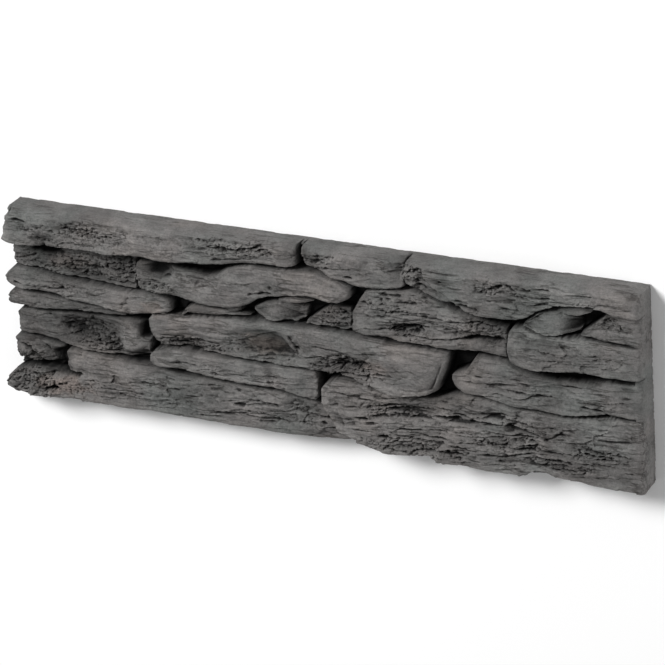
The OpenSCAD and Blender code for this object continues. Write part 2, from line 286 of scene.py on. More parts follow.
# %% Cut the groove at the foot of each step
groove_depth = 3.2
groove_floor = 6.0
foot_of_step = step_up(0.9, 3.2, highest_within(base_height, 1.15) - base_height)
base_height = np.maximum(base_height - groove_depth * foot_of_step, groove_floor)
print("share of the face in a groove:", round(float((foot_of_step > 0.5).mean()), 2))

# %% Tell the stones apart
joint_top = floor_height + 2.2
off_the_step = share_up * drop + 0.8 > 0.45 * drop
on_stone = (base_height > joint_top) & (foot_of_step < 0.3) & off_the_step
stone_number = np.zeros((rows, columns), int)
stone_count = 0
for start in zip(*np.nonzero(on_stone)):
    if stone_number[start]:
        continue
    stone_count += 1
    stone_number[start] = stone_count
    open_points = [start]
    while open_points:
        j, i = open_points.pop()
        for a, b in ((j + 1, i), (j - 1, i), (j, i + 1), (j, i - 1)):
            if 0 <= a < rows and 0 <= b < columns and on_stone[a, b] and not stone_number[a, b]:
                stone_number[a, b] = stone_count
                open_points.append((a, b))
print("stones told apart:", stone_count)

# %% [markdown]
# ## Split grain
# The stones in the mould were slate-like: they split along beds that rise a little to the right.
# The beds are made from smooth noise that is stretched along X. Its height is cut into steps, and
# each step is one bed that ends in a small ledge. Each stone starts at its own place in the noise,
# so no bed runs on across a joint. Modelled relief was chosen over bump for everything above half
# a millimetre, because it then casts real shadows and is part of the mesh itself. The last number
# of each noise is the seed of its random draws, so every run gives the same stone.

# %% Make noise
def noise(x, y, cell_x, cell_y, seed):
    """Smooth hills and dips between about -1 and 1, one to each cell of cell_x by cell_y mm."""
    order = np.random.default_rng(seed).permutation(1024)
    gx, gy = x / cell_x, y / cell_y
    ix, iy = np.floor(gx).astype(int), np.floor(gy).astype(int)
    fx, fy = gx - ix, gy - iy
    sx, sy = (f * f * f * (f * (f * 6 - 15) + 10) for f in (fx, fy))

    def corner(a, b):
        angle = order[(order[(ix + a) & 1023] + iy + b) & 1023] * (math.tau / 1024)
        return np.cos(angle) * (fx - a) + np.sin(angle) * (fy - b)

    lower = corner(0, 0) * (1 - sx) + corner(1, 0) * sx
    upper = corner(0, 1) * (1 - sx) + corner(1, 1) * sx
    return 1.6 * (lower * (1 - sy) + upper * sy)


def fractal(x, y, cell_x, cell_y, octaves, seed):
    """Noise on noise: each octave has cells of half the size and hills of half the height."""
    return sum(noise(x, y, cell_x / 2 ** k, cell_y / 2 ** k, seed + k) / 2 ** k for k in range(octaves))


bed_rise = 0.08
start_spread = 400
own_start = np.random.default_rng(11).random((stone_count + 1, 2)) * start_spread
grain_x = net_x + own_start[stone_number, 0]
grain_y = net_y - bed_rise * net_x + own_start[stone_number, 1]
sample = noise(grain_x, grain_y, 30, 6, 1)
print("noise from", round(sample.min(), 2), "to", round(sample.max(), 2))

# %% [markdown]
# ## Where the stone is rough, split or hollow
# The face isn't equally rough. Some stones are worn smooth, others are pitted or have broken out.
# These places are given in millimetres on the tile, as ovals: middle, reach along X and Y,
# and how strong the effect is. Ovals were chosen over painting because they are few numbers, and
# noise makes their rims ragged anyway.

# %% Draw ragged ovals
def oval(middle_x, middle_y, reach_x, reach_y):
    """0 in the middle of an oval, 1 on its rim."""
    return np.sqrt(((net_x - middle_x) / reach_x) ** 2 + ((net_y - middle_y) / reach_y) ** 2)


def in_ovals(places, full_at, gone_at, raggedness):
    """The strongest effect at each point, full inside full_at and gone beyond gone_at."""
    strongest = np.zeros((rows, columns))
    for mx, my, rx, ry, strength in places:
        inside = 1 - step_up(full_at, gone_at, oval(mx, my, rx, ry) + raggedness * ragged)
        strongest = np.maximum(strongest, strength * inside)
    return strongest


ragged = 0.35 * fractal(net_x, net_y, 9, 5, 2, 31)
print("rims move in and out by", round(float(np.abs(ragged).max()), 2), "of an oval's reach")

# %% Mark the rough places
ROUGH = [
    (-172, 66, 22, 7, 0.9), (-52, 69, 34, 8, 1.0), (-205, 58, 22, 9, 0.5), (-146, 36, 16, 11, 1.3),
    (-185, 34, 30, 8, 1.0), (-118, 27, 14, 6, 1.0), (-180, -14, 26, 10, 0.8), (-166, -25, 18, 7, 1.6),
    (-226, -62, 26, 12, 1.8), (-228, -42, 12, 9, 1.0), (-95, -14, 34, 6, 1.2), (-35, -8, 30, 12, 0.5),
    (28, -13, 26, 10, 1.5), (8, 66, 18, 6, 0.9), (84, 67, 9, 9, 1.2), (145, 66, 14, 7, 1.0),
    (20, 24, 16, 9, 1.0), (76, 22, 16, 7, 1.6), (130, 30, 24, 10, 1.0), (70, 42, 30, 8, 0.7),
    (226, 48, 10, 8, 1.0), (80, -66, 46, 7, 1.2), (60, -42, 26, 6, 0.9), (150, -52, 26, 8, 1.2),
    (215, -48, 24, 6, 0.9), (160, -37, 26, 5, 0.8), (-8, -55, 16, 12, 0.5), (165, -15, 40, 6, 0.25),
    (190, -62, 30, 6, 0.9), (195, 20, 50, 13, 0.25), (-60, -32, 60, 8, 0.25), (-90, -55, 110, 18, 0.26),
    (95, 30, 62, 22, 0.30), (180, -9, 70, 14, 0.22), (120, -46, 115, 28, 0.30), (195, 70, 50, 12, 0.25),
    (-195, 18, 45, 8, 0.28), (-190, 0, 50, 6, 0.3), (-200, 34, 50, 12, 0.6), (215, 48, 24, 9, 0.35)
]
LAYERED = [
    (95, 32, 62, 20, 1.0), (120, -50, 118, 28, 1.0), (-90, -57, 112, 18, 0.55), (180, -9, 70, 14, 0.7),
    (195, 68, 60, 12, 0.6), (-60, -30, 60, 9, 0.5), (25, -14, 42, 10, 0.9), (-180, 14, 60, 10, 0.4),
    (-95, -14, 32, 7, 0.8), (100, 68, 40, 8, 0.5), (-60, 66, 34, 8, 0.4), (195, 20, 40, 12, 0.35)
]
PITTED = [
    (-165, 60, 48, 10, 0.9), (-105, 60, 26, 8, 0.5), (-45, 66, 34, 9, 0.6), (-165, 36, 34, 12, 1.0),
    (-118, 27, 18, 7, 0.9), (-90, 30, 30, 9, 0.4), (-172, -18, 30, 13, 0.7), (-225, -45, 18, 14, 0.8),
    (-195, -62, 36, 12, 0.9), (15, 68, 18, 7, 0.7), (-24, 22, 20, 9, 0.4), (85, 66, 10, 9, 0.8),
    (20, 24, 16, 9, 0.8), (224, 48, 12, 8, 0.9), (-20, -56, 30, 14, 0.5), (30, -12, 34, 10, 0.6),
    (150, 70, 30, 9, 0.5), (215, -50, 30, 12, 0.4), (60, -35, 30, 8, 0.5), (-190, 17, 40, 7, 0.4)
]
WORN = [
    (-22, 22, 26, 10, 1), (188, 43, 26, 10, 1), (101, -8, 8, 18, 1), (-75, 13, 30, 6, 1),
    (-30, 0, 18, 9, 1), (222, 45, 12, 6, 1), (-118, 40, 10, 7, 1)
]
least_roughness = 0.10
roughness = np.maximum(in_ovals(ROUGH, 0.55, 1.15, 1), least_roughness)
layered = in_ovals(LAYERED, 0.55, 1.15, 1)
pitted = in_ovals(PITTED, 0.4, 1.2, 1.5)
worn_smooth = in_ovals(WORN, 0.7, 1.2, 0)
shares = {"rough": roughness, "layered": layered, "pitted": pitted, "worn": worn_smooth}
for word, field in shares.items():
    print("share that is", word + ":", round(float((field > 0.5).mean()), 2))

# %% Break the face into chips
def chips(x, y, cell_x, cell_y, tilt, seed):
    """Flat flakes, each with its own height and tilt, as a split stone face has."""
    random = np.random.default_rng(seed).random((64, 64, 5))
    gx, gy = x / cell_x, y / cell_y
    best = np.full(x.shape, 1e9)
    flake = np.zeros(x.shape)
    for a in (-1, 0, 1):
        for b in (-1, 0, 1):
            ix, iy = np.floor(gx).astype(int) + a, np.floor(gy).astype(int) + b
            r = random[ix & 63, iy & 63]
            dx, dy = gx - ix - r[..., 0], gy - iy - r[..., 1]
            distance = dx * dx + dy * dy
            height = r[..., 2] - 0.5 + tilt * ((r[..., 3] - 0.5) * dx + (r[..., 4] - 0.5) * dy)
            flake = np.where(distance < best, height, flake)
            best = np.minimum(best, distance)
    return flake


warp_x = 2.4 * fractal(grain_x, grain_y, 12, 6, 3, 101)
warp_y = 1.2 * fractal(grain_x, grain_y, 10, 5, 3, 111)
flakes = chips(grain_x + warp_x, grain_y + warp_y, 26, 7.5, 1.6, 7)
small_flakes = chips(grain_x + warp_x, grain_y + warp_y, 6.5, 2.5, 1.4, 8)
print("flakes from", round(flakes.min(), 2), "to", round(flakes.max(), 2))

# %% Add the beds
bed_thickness = 3.6
phase = grain_y / bed_thickness + 0.9 * fractal(grain_x, grain_y, 46, 10, 3, 3)
bed = np.floor(phase)
within_bed = phase - bed
bed_random = np.random.default_rng(5).random((2, 4096))[:, bed.astype(int) & 4095]
lip_down = np.where(bed_random[1] < 0.8, 1 - within_bed, within_bed)
comes_and_goes = step_up(-0.15, 0.45, noise(grain_x, grain_y, 34, 7, 21))
bed_shape = 0.9 * (bed_random[0] - 0.5) + 1.1 * (lip_down - 0.5)
beds = (0.2 + 0.8 * comes_and_goes) * bed_shape * (0.26 + 0.9 * roughness + 0.75 * layered)
print("beds from", round(beds.min(), 2), "to", round(beds.max(), 2), "mm")

# %% Add grain, crumbs, pits and slits
# Height in mm, times noise with the length and height of its cells, its octaves and its seed
swell = 1.6 * fractal(grain_x, grain_y, 30, 15, 2, 41)
split = (0.6 + 1.8 * roughness) * flakes + (0.10 + 1.3 * roughness) * small_flakes
grain = (0.10 + 0.55 * roughness) * fractal(grain_x, grain_y, 6, 1.9, 3, 51)
crumbs = (0.16 + 0.55 * roughness) * fractal(net_x, net_y, 3.0, 2.4, 3, 61)
pits = -1.5 * np.minimum(roughness, 1.4) * step_up(0.30, 0.75, fractal(net_x, net_y, 3.2, 2.4, 2, 71))
slits = -2.2 * layered * step_up(0.36, 0.62, fractal(grain_x, grain_y, 30, 3.4, 2, 121))
fine_layers = 0.42 * layered * fractal(grain_x, grain_y, 12, 1.6, 2, 141)
small_pits = -0.9 * pitted * step_up(0.10, 0.50, fractal(net_x, net_y, 2.4, 1.9, 2, 151))
worn_away = 0.7
broken = beds + swell + split + grain + crumbs + pits + slits + fine_layers
relief = broken * (1 - worn_away * worn_smooth) + small_pits
print("relief in mm, 5th and 95th percentile:", np.percentile(relief, [5, 95]).round(2))

# %% [markdown]
# ## Hollows, ledges and cracks
# A hollow is where a flake has come off: a bowl with a ragged rim. A broad form is a place where a
# stone swells or sinks, and a scar is a flat cut that deepens to one side. A crack is a thin dark
# groove. A ledge is a line along which one bed ends, with the stone on one side of it set back.
# All are drawn in millimetres, as ovals, triangles and short lines, because they give each
# stone the character by which one tile is told from another.

# %% Sink the hollows
# Middle, reach along X and Y, and depth
HOLLOWS = [
    (-207, 43, 17, 4.5, 2.5), (-24, -3, 11, 9, 1.2), (-75, -33, 4, 2.6, 2.0),
    (-26, 41, 3, 2.5, 1.6), (-58, -44, 3, 2.2, 1.4), (-203, -40, 7, 6, 3.0),
    (120, 52.3, 9, 1.6, 4.5), (106, 77, 2.2, 1.1, 2.0), (105, 65, 1.6, 1.2, 2.0), (86, 67, 7, 7, 1.2),
    (35, 57.6, 5, 1.8, 3.5), (81, 45.5, 5, 2.4, 1.2), (77, 22, 12, 3, 1.2), (58, 31, 4, 1.5, 1.6),
    (28, -12, 14, 3, 1.2), (28, -1.8, 8, 1.8, 1.4), (62, -41, 5, 1.8, 2.2), (113, -37, 8, 1.5, 2.8),
    (144, -52, 12, 3.0, 1.6), (162, -47.5, 13, 2.0, 1.6), (8, -60, 3, 2.0, 1.6), (-166, -25, 12, 3, 1.2),
    (-140, -31, 11, 3.0, 2.0), (216, -47, 13, 2.4, 1.0), (225, 48, 6, 5, 1.6),
    (-232, -56, 6, 4, 1.2), (-215, -66, 8, 2.6, 1.0), (180, -53, 11, 1.8, 1.8)
]
for mx, my, rx, ry, depth in HOLLOWS:
    inside = np.clip(1 - oval(mx, my, rx, ry) - ragged * 0.6, 0, 1)
    relief -= depth * step_up(0, 0.55, inside)
print("hollows:", len(HOLLOWS))

# %% Raise and press the broad forms
# Middle, reach along X and Y, and height, with a minus where the stone sinks
FORMS = [
    (-180, -13, 20, 8, -2.2), (-144, -19, 9, 11, 2.2), (-197, -17, 4, 12, -1.2), (-225, -17, 13, 11, 0.7),
    (-32, -30, 4, 10, -1.4), (-15, -29, 12, 9, 1.1), (-133, 11, 6, 6, 1.2), (-150, 12, 6, 7, 0.6),
    (-141, 12, 2.5, 8, -1.0), (-119, 14, 6, 7, -1.0), (-103, 36, 12, 6, 1.0), (-119, 39, 6, 6, -2.0),
    (-62, 42, 14, 7, 1.0), (-80, 33, 7, 9, -1.0), (-95, 24, 14, 4, -1.0), (-206, 53, 14, 8, -1.4),
    (-232, 60, 9, 9, 0.6), (-125, 60, 35, 8, 0.5), (60, 40, 15, 6, 0.7), (75, 26, 18, 5, -1.0),
    (-251, 66, 16, 15, -9.0),
    (-185, -2, 30, 5, 0.6), (-90, -28, 14, 7, 0.6), (-60, -31, 9, 6, -0.7), (14, 65, 9, 8, -1.0),
    (55, 66, 12, 9, 0.6), (45, 60, 5, 10, -0.8), (150, -14, 16, 6, 0.6), (190, -14, 14, 6, -0.6),
    (40, -40, 12, 9, 0.6), (30, -58, 12, 8, -1.0), (100, -52, 16, 6, 0.7), (-150, -50, 24, 9, 0.6),
    (-110, -60, 20, 7, -0.7), (-60, -52, 18, 8, 0.5), (-30, -60, 16, 7, -0.6), (215, 22, 18, 9, -0.5),
    (180, 24, 12, 8, 0.5), (145, 50, 20, 5, 0.8), (215, 70, 20, 6, -0.6), (120, 66, 12, 6, 0.7)
]
for mx, my, rx, ry, height in FORMS:
    relief += height * (1 - step_up(0.15, 1.35, oval(mx, my, rx, ry) + 0.5 * ragged))
print("broad forms:", len(FORMS))

# %% Cut flat scars
# Two corners where the cut starts, the corner where it is deepest, and its depth there
SCARS = [
    ((-66, -15), (-24, 9), (-10, -9), 4.2), ((-126, 46), (-124, 33), (-110, 40), 2.6),
    ((190, 56), (190, 34), (208, 44), 3.4), ((-28, 31), (-28, 12), (-3, 20), 2.6),
    ((-98, 45), (-74, 43), (-88, 32), 1.6), ((-199, -5), (-199, -30), (-180, -16), 2.2),
    ((-150, -5), (-150, -32), (-164, -20), 1.6), ((-140, 18), (-142, 5), (-148, 11), 1.4),
    ((-127, 17), (-125, 7), (-112, 12), 2.0), ((-204, -35), (-187, -55), (-206, -53), 7.0),
    ((128, 8), (112, -2), (124, -10), 1.4), ((-33, -22), (-35, -38), (-26, -30), 1.6),
    ((-131, 6), (-116, -19), (-136, -14), 10.0), ((-150, -1), (-130, -17), (-129, -1), 5.0),
    ((-152, -37), (-130, -23), (-129, -37), 4.0), ((-103, 7), (-99, 16), (-108, 16), 4.0),
    ((57, 52), (44, 40), (40, 52), 3.0), ((56, 76), (40, 54), (62, 56), 1.4),
    ((2, 74), (0, 61), (22, 62), 1.4), ((46, 30), (44, 16), (62, 22), 1.4),
    ((-215, 62), (-190, 60), (-206, 48), 2.0), ((20, -26), (12, -56), (26, -58), 1.6),
    ((170, 70), (190, 78), (185, 60), 1.2)
]
bent_x, bent_y = net_x + 2.4 * ragged, net_y + 1.6 * ragged
for (ax, ay), (bx, by), (cx, cy), depth in SCARS:
    area = (bx - ax) * (cy - ay) - (by - ay) * (cx - ax)
    to_c = ((bx - ax) * (bent_y - ay) - (by - ay) * (bent_x - ax)) / area
    to_b = ((bent_x - ax) * (cy - ay) - (bent_y - ay) * (cx - ax)) / area
    to_a = 1 - to_b - to_c
    relief -= depth * np.clip(to_c, 0, 1) * step_up(-0.05, 0.06, to_a) * step_up(-0.05, 0.06, to_b)
print("flat scars:", len(SCARS))

# %% Measure the distance to a line
def distance_to_line(points):
    """Distance to a line of points, whether a spot is above it, and how far along it lies, 0 to 1."""
    best = np.full((rows, columns), 1e9)
    above = np.zeros((rows, columns))
    along = np.zeros((rows, columns))
    total = len(points) - 1
    for k in range(total):
        (ax, ay), (bx, by) = points[k], points[k + 1]
        dx, dy = bx - ax, by - ay
        t = ((net_x - ax) * dx + (net_y - ay) * dy) / (dx * dx + dy * dy)
        t_in = np.clip(t, 0, 1)
        d = np.hypot(net_x - ax - t_in * dx, net_y - ay - t_in * dy)
        closer = d < best
        best = np.where(closer, d, best)
        above = np.where(closer, dx * (net_y - ay) - dy * (net_x - ax), above)
        along = np.where(closer, (k + t_in) / total, along)
    return best, above > 0, along


wander = 0.5 * fractal(net_x, net_y, 6, 3, 3, 81)
print("lines wander by up to", round(float(np.abs(wander).max()), 2), "mm")

# %% Cut the cracks
# Points along the crack, its width and its depth
CRACKS = [
    ([(-233, 66.5), (-226, 66.8), (-217, 66)], 1.6, 1.6), ([(-228, 60), (-213, 59.5)], 1.0, 0.7),
    ([(-236, 15.5), (-227, 15)], 1.6, 1.8), ([(-208, 14.8), (-200, 15.6), (-190, 17.2)], 1.8, 2.0),
    ([(-227, 15), (-208, 14.8)], 1.0, 0.7), ([(-172, 37), (-163, 37)], 1.2, 1.0),
    ([(-222, -7.4), (-206, -8)], 1.2, 1.0), ([(-213, -22.5), (-203, -22.8)], 1.2, 1.2),
    ([(-172, 2.2), (-160, 2.6), (-146, 3.6)], 1.0, 1.2),
    ([(-239, -52), (-222, -51), (-212, -54)], 1.4, 1.6),
    ([(-214, -53.5), (-205, -53), (-190, -53.5), (-184, -50.5)], 2.4, 3.4),
    ([(-237, -33), (-228, -37), (-221, -44), (-216, -50)], 1.8, 2.0),
    ([(-216, -33), (-211, -38)], 1.4, 1.4), ([(-84, 63), (-72, 66), (-60, 66.5), (-48, 67)], 1.3, 1.1),
    ([(-56, 64), (-46, 62.5), (-34, 63.5)], 1.3, 1.2), ([(-70, 73), (-58, 73), (-44, 72)], 1.4, 1.2),
    ([(-40, 68), (-33, 72), (-29, 76)], 1.2, 1.0), ([(-72, 56), (-64, 57.5), (-54, 60)], 1.6, 1.5),
    ([(-46, 33), (-36, 34.5), (-24, 36.5)], 2.0, 1.8), ([(-128, 32), (-118, 31.4), (-108, 30)], 1.4, 1.6),
    ([(-44, -15), (-32, -12.5), (-20, -11), (-2, -10)], 1.6, 1.6),
    ([(-50, -17), (-38, -15.6), (-24, -15)], 1.2, 1.2), ([(-12, -3), (-7, -4)], 1.6, 1.4),
    ([(-114, -30), (-100, -28.8), (-88, -28.4)], 1.8, 1.8), ([(-62, -31.4), (-48, -30.6)], 1.2, 0.9),
    ([(-118, -43.4), (-108, -44)], 1.2, 0.9), ([(-122, -50), (-104, -51)], 1.4, 1.0),
    ([(-64, -55), (-54, -54.2), (-44, -52), (-20, -50)], 1.6, 1.4),
    ([(-48, -65.5), (-30, -65)], 1.0, 0.8), ([(46, 75), (58, 77), (80, 77.2)], 1.6, 1.8),
    ([(50, 36.2), (66, 36.6), (90, 36), (106, 36.6)], 1.2, 1.2), ([(42, 40), (56, 40)], 1.2, 1.2),
    ([(56, 47), (76, 49)], 1.3, 1.2), ([(58, 42), (74, 41.4)], 1.0, 1.0),
    ([(66, 21), (78, 25), (92, 27.4)], 1.4, 1.2), ([(118, 22.8), (130, 24), (150, 26)], 2.6, 3.6),
    ([(104, 28), (118, 30)], 1.2, 1.0), ([(100, 20), (116, 21)], 1.0, 0.8),
    ([(128, 36), (146, 34)], 1.3, 1.2), ([(0, 0.8), (18, 0.2), (33, -0.6)], 1.4, 1.4),
    ([(35, 0), (50, 2), (66, 4)], 1.0, 0.8), ([(50, -13), (66, -13.2)], 1.2, 1.0),
    ([(72, -21), (80, -21.4)], 1.2, 0.8), ([(34, -47.6), (46, -48.2)], 1.6, 1.6),
    ([(90, -40.6), (104, -40), (128, -39), (146, -38.6)], 1.8, 2.0),
    ([(146, -38.6), (160, -40.4), (176, -42)], 1.8, 2.0), ([(50, -61), (63, -61.6)], 1.6, 1.5),
    ([(133, 61.5), (142, 65), (152, 70.6)], 1.6, 1.4), ([(152, 70.6), (158, 67), (163, 63.6)], 1.2, 1.2),
    ([(128, 62), (146, 63)], 1.2, 1.0), ([(158, 79), (170, 80.5)], 1.4, 1.0),
    ([(140, 75), (164, 78)], 1.0, 0.8), ([(171, 57), (182, 59.6), (192, 58)], 1.6, 1.6),
    ([(170, 51.5), (178, 53.6), (190, 57.4)], 1.6, 1.6), ([(148, 52), (164, 51)], 1.4, 1.4),
    ([(150, 46), (166, 44)], 1.2, 1.0), ([(203, -15.2), (214, -16.4), (227, -18)], 1.8, 2.4),
    ([(148, -10.4), (166, -11.2)], 1.0, 0.9), ([(157, -5), (168, -5.6)], 1.0, 0.8),
    ([(125, -62.6), (145, -61.2), (158, -58), (170, -56)], 1.8, 1.8),
    ([(164, -64), (178, -63), (200, -60)], 1.6, 1.6), ([(214, -38), (230, -37), (244, -35)], 1.6, 1.6),
    ([(176, -45), (184, -41), (191, -36)], 1.8, 1.6), ([(205, -50), (230, -49)], 1.6, 1.2),
    ([(100, -64), (118, -66)], 1.4, 1.2), ([(62, -66), (84, -67)], 1.2, 1.0),
    ([(190, -51), (210, -52)], 1.2, 1.0)
]
uneven = 0.75 + 0.5 * fractal(net_x, net_y, 9, 9, 2, 86)
crack_shade = np.zeros((rows, columns))
set_back_reach = 7
for points, width, depth in CRACKS:
    distance, above, along = distance_to_line(points)
    ends = step_up(0, 0.18, along) * (1 - step_up(0.82, 1, along))
    taper = (ends * 0.85 + 0.15) * np.clip(uneven, 0.2, 1.3)
    groove = np.clip(1 - (distance + wander) / (width * taper + 0.35), 0, 1)
    relief -= 1.3 * depth * taper * step_up(0, 0.8, groove)
    # Painted shade: the colour is darkened along each crack, where shade falls.
    crack_shade = np.maximum(crack_shade, step_up(0.15, 0.8, groove) * np.clip(0.5 * depth * taper, 0, 1))
    below = np.clip(1 - distance / set_back_reach, 0, 1) * (1 - above)
    relief -= 0.4 * depth * (below * step_up(0, 0.2, along) * (1 - step_up(0.8, 1, along)))
print("cracks:", len(CRACKS))

# %% Set back the stone beside each ledge
# Points along the ledge, its depth, with a minus where the stone above is set back, and its reach
LEDGES = [
    ([(-119, -8), (-106, -9), (-84, -9.5), (-66, -8)], 1.6, 11),
    ([(-60, -6), (-36, 4), (-24, 8), (-17, 6)], 1.2, 12),
    ([(4, -8), (16, -6), (30, -7), (46, -6), (50, -10)], 1.2, 12),
    ([(-16, 7), (-12, -2), (-9, -10)], -1.6, 9),
    ([(-134, 31), (-120, 31), (-108, 29), (-98, 25)], 1.4, 7),
    ([(46, 34), (70, 33), (100, 34), (116, 36)], 0.9, 8), ([(52, 26), (66, 26), (92, 30)], 1.2, 8),
    ([(40, -40), (60, -38), (88, -39)], 1.2, 8), ([(60, -58), (90, -59), (124, -58)], 1.4, 10),
    ([(132, -44), (150, -44), (176, -43)], 1.6, 9), ([(150, -55), (176, -50), (196, -50)], 1.2, 8),
    ([(176, -33), (205, -32), (244, -33)], 0.8, 8), ([(126, 70), (146, 72), (166, 76)], 0.9, 9),
    ([(-200, -60), (-160, -62), (-120, -62)], 0.7, 9), ([(-90, -62), (-40, -62), (-6, -62)], 1.0, 8),
    ([(-196, -46), (-176, -48), (-150, -47)], 0.7, 9), ([(204, 52), (214, 54), (224, 56)], 1.6, 7),
    ([(-98, 61), (-76, 62), (-40, 60)], 0.8, 8), ([(130, -9), (160, -10), (196, -12)], 0.9, 9),
    ([(-236, 24), (-200, 20), (-180, 20)], 0.6, 8),
    ([(90, 76), (93, 67), (100, 60), (112, 53.5), (127, 53)], 2.8, 11),
    ([(84, 62), (92, 58), (104, 53), (118, 46)], -1.2, 4),
    ([(15, -30), (40, -34), (70, -36), (100, -37)], 1.4, 10),
    ([(110, -30), (140, -32), (175, -36)], 1.5, 9), ([(-240, 10), (-215, 12), (-190, 11)], 1.4, 6),
    ([(160, 58), (185, 62), (215, 66)], 1.0, 9)
]
for points, depth, reach in LEDGES:
    distance, above, along = distance_to_line(points)
    fade = step_up(0, 0.15, along) * (1 - step_up(0.85, 1, along))
    near = np.clip(1 - distance / reach, 0, 1) * step_up(-0.1, 0.5, distance + wander)
    relief -= abs(depth) * fade * near * (above == (depth < 0))
print("ledges:", len(LEDGES))

# %% [markdown]
# ## Put the relief on the face
# The straight end and the top edge were cast against a smooth mould wall, so the relief fades out
# towards the right and the top, and their arrises are rounded. Nothing may stand higher than the
# solid's highest point, so what is left over there is cut off.

# %% Add the relief to the face
end_fade = 1 - 0.85 * step_up(high[0] - 10, high[0] - 3, net_x)
top_fade = 1 - 0.7 * step_up(high[1] - 4, high[1] - 0.5, net_y)
stone_share = step_up(floor_height + 0.5, floor_height + 4, base_height)
lift = 0.15
face_height = base_height + (relief + lift) * end_fade * top_fade * (0.35 + 0.65 * stone_share)
joint_dip = 1.2 * (1 - stone_share)


def rounding(distance, radius):
    """How far a rounded arris has dropped at a distance from the edge."""
    inside = np.clip(1 - distance / radius, 0, 1)
    return radius * (1 - np.sqrt(1 - inside ** 2))


before_rounding = face_height - joint_dip
uneven_radius = 1 + 0.25 * fractal(net_x, net_y, 22, 9, 2, 131)
top_arris = rounding(high[1] - net_y, 3.2 * uneven_radius)
end_arris = rounding(high[0] - net_x, 3.4 * uneven_radius)
least_height = 3.0
face_height = np.clip(face_height - joint_dip - (top_arris + end_arris), least_height, high[2] - 0.05)
print("face from", round(face_height.min(), 1), "to", round(face_height.max(), 1), "mm")

# %% [markdown]
# ## Build the skin
# The net becomes a mesh. Around its border a wall of shorter rows goes down to the back, with a
# little waviness. The back stays open until the mesh is thinned out.

# %% Build the walls
wall_rows = 12
face_points = np.stack([net_x, net_y, face_height], -1).reshape(-1, 3)
number = np.arange(rows * columns).reshape(rows, columns)
ring = np.concatenate([number[0, :-1], number[:-1, -1], number[-1, :0:-1], number[:0:-1, 0]])
inner = np.pad(number[1:-1, 1:-1], 1, mode="edge")
inward = face_points[inner.reshape(-1)[ring]] - face_points[ring]
inward[:, 2] = 0
inward /= np.maximum(np.linalg.norm(inward, axis=1, keepdims=True), 1e-6)
rim = face_points[ring]
chip_noise = fractal(rim[:, 0] + 3 * rim[:, 1], rim[:, 1], 19, 19, 5, 161)
arris_chips = 0.3 + 0.55 * step_up(-0.2, 0.8, chip_noise)
walls = []
for k in range(1, wall_rows + 1):
    share = k / wall_rows
    z = rim[:, 2] * (1 - share)
    waves = 0.22 + 0.22 * fractal(rim[:, 0] + rim[:, 1] * 1.7, z, 14, 5, 3, 91)
    inset = np.clip(waves, 0, 0.6) * math.sin(math.pi * min(share, 0.96)) ** 0.5
    inset += arris_chips * step_up(0.80, 1.0, share)
    layer = rim + inward * inset[:, None]
    layer[:, 2] = z
    walls.append(layer)
print("wall points:", wall_rows * len(ring))

# %% Join face and walls into one mesh
points = np.concatenate([face_points] + walls) * MM
corners = [number[:-1, :-1], number[:-1, 1:], number[1:, 1:], number[1:, :-1]]
quads = np.stack(corners, -1).reshape(-1, 4).tolist()
in_ring = np.arange(len(ring))
levels = [ring] + [rows * columns + k * len(ring) + in_ring for k in range(wall_rows)]
for upper, lower in zip(levels, levels[1:]):
    quads += np.stack([upper, lower, np.roll(lower, -1), np.roll(upper, -1)], -1).tolist()
skin = bpy.data.meshes.new("cast_tile")
skin.from_pydata(points.tolist(), [], quads)
skin.update()
tile = bpy.data.objects.new("cast_tile", skin)
bpy.context.scene.collection.objects.link(tile)
print("faces of the fine net:", len(skin.polygons))

# %% [markdown]
# ## Painted shade in the hollows and painted highlight on the rims
# The concrete's colour is made darker in its cracks, as painted shade, and lighter on the rims that
# stand out, as a painted highlight. Both follow from the shape: a point that lies lower than the
# average around it is in a crack, and one that lies higher is on a rim. The two are kept as one value
# for each point of the mesh, because a node can't read the shape around it in an exported model.
# How dark each place is, with more painted shade in recesses, joints and cracks, and how brown and
# how grainy it is, are kept in the same way.

# %% Store how hollow each point is, for the painted shade and painted highlight
def blurred(field, reach):
    """A plain soft blur with a reach in millimetres."""
    for axis, step in ((1, step_x), (0, step_y)):
        side = math.ceil(3 * reach / step)
        kernel = np.exp(-((np.arange(-side, side + 1) * step / reach) ** 2) / 2)
        kernel /= kernel.sum()
        field = np.apply_along_axis(
            lambda line: np.convolve(np.pad(line, side, mode="edge"), kernel, "valid"), axis, field)
    return field


fine_hollow = blurred(before_rounding, 1.3) - before_rounding
wide_hollow = blurred(before_rounding, 6) - before_rounding
from_top_or_end = np.minimum(high[1] - net_y, high[0] - net_x)
from_left_or_foot = np.minimum(np.arange(columns)[None, :] * step_x, np.arange(rows)[:, None] * step_y)
inside_border = step_up(0.6, 4.0, from_top_or_end) * step_up(0.3, 2.0, from_left_or_foot)
hollow = np.clip(0.5 + (0.40 * fine_hollow + 0.10 * wide_hollow) * inside_border, 0, 1)
print("hollow value, 1st, 50th and 99th percentile:", np.percentile(hollow, [1, 50, 99]).round(2))
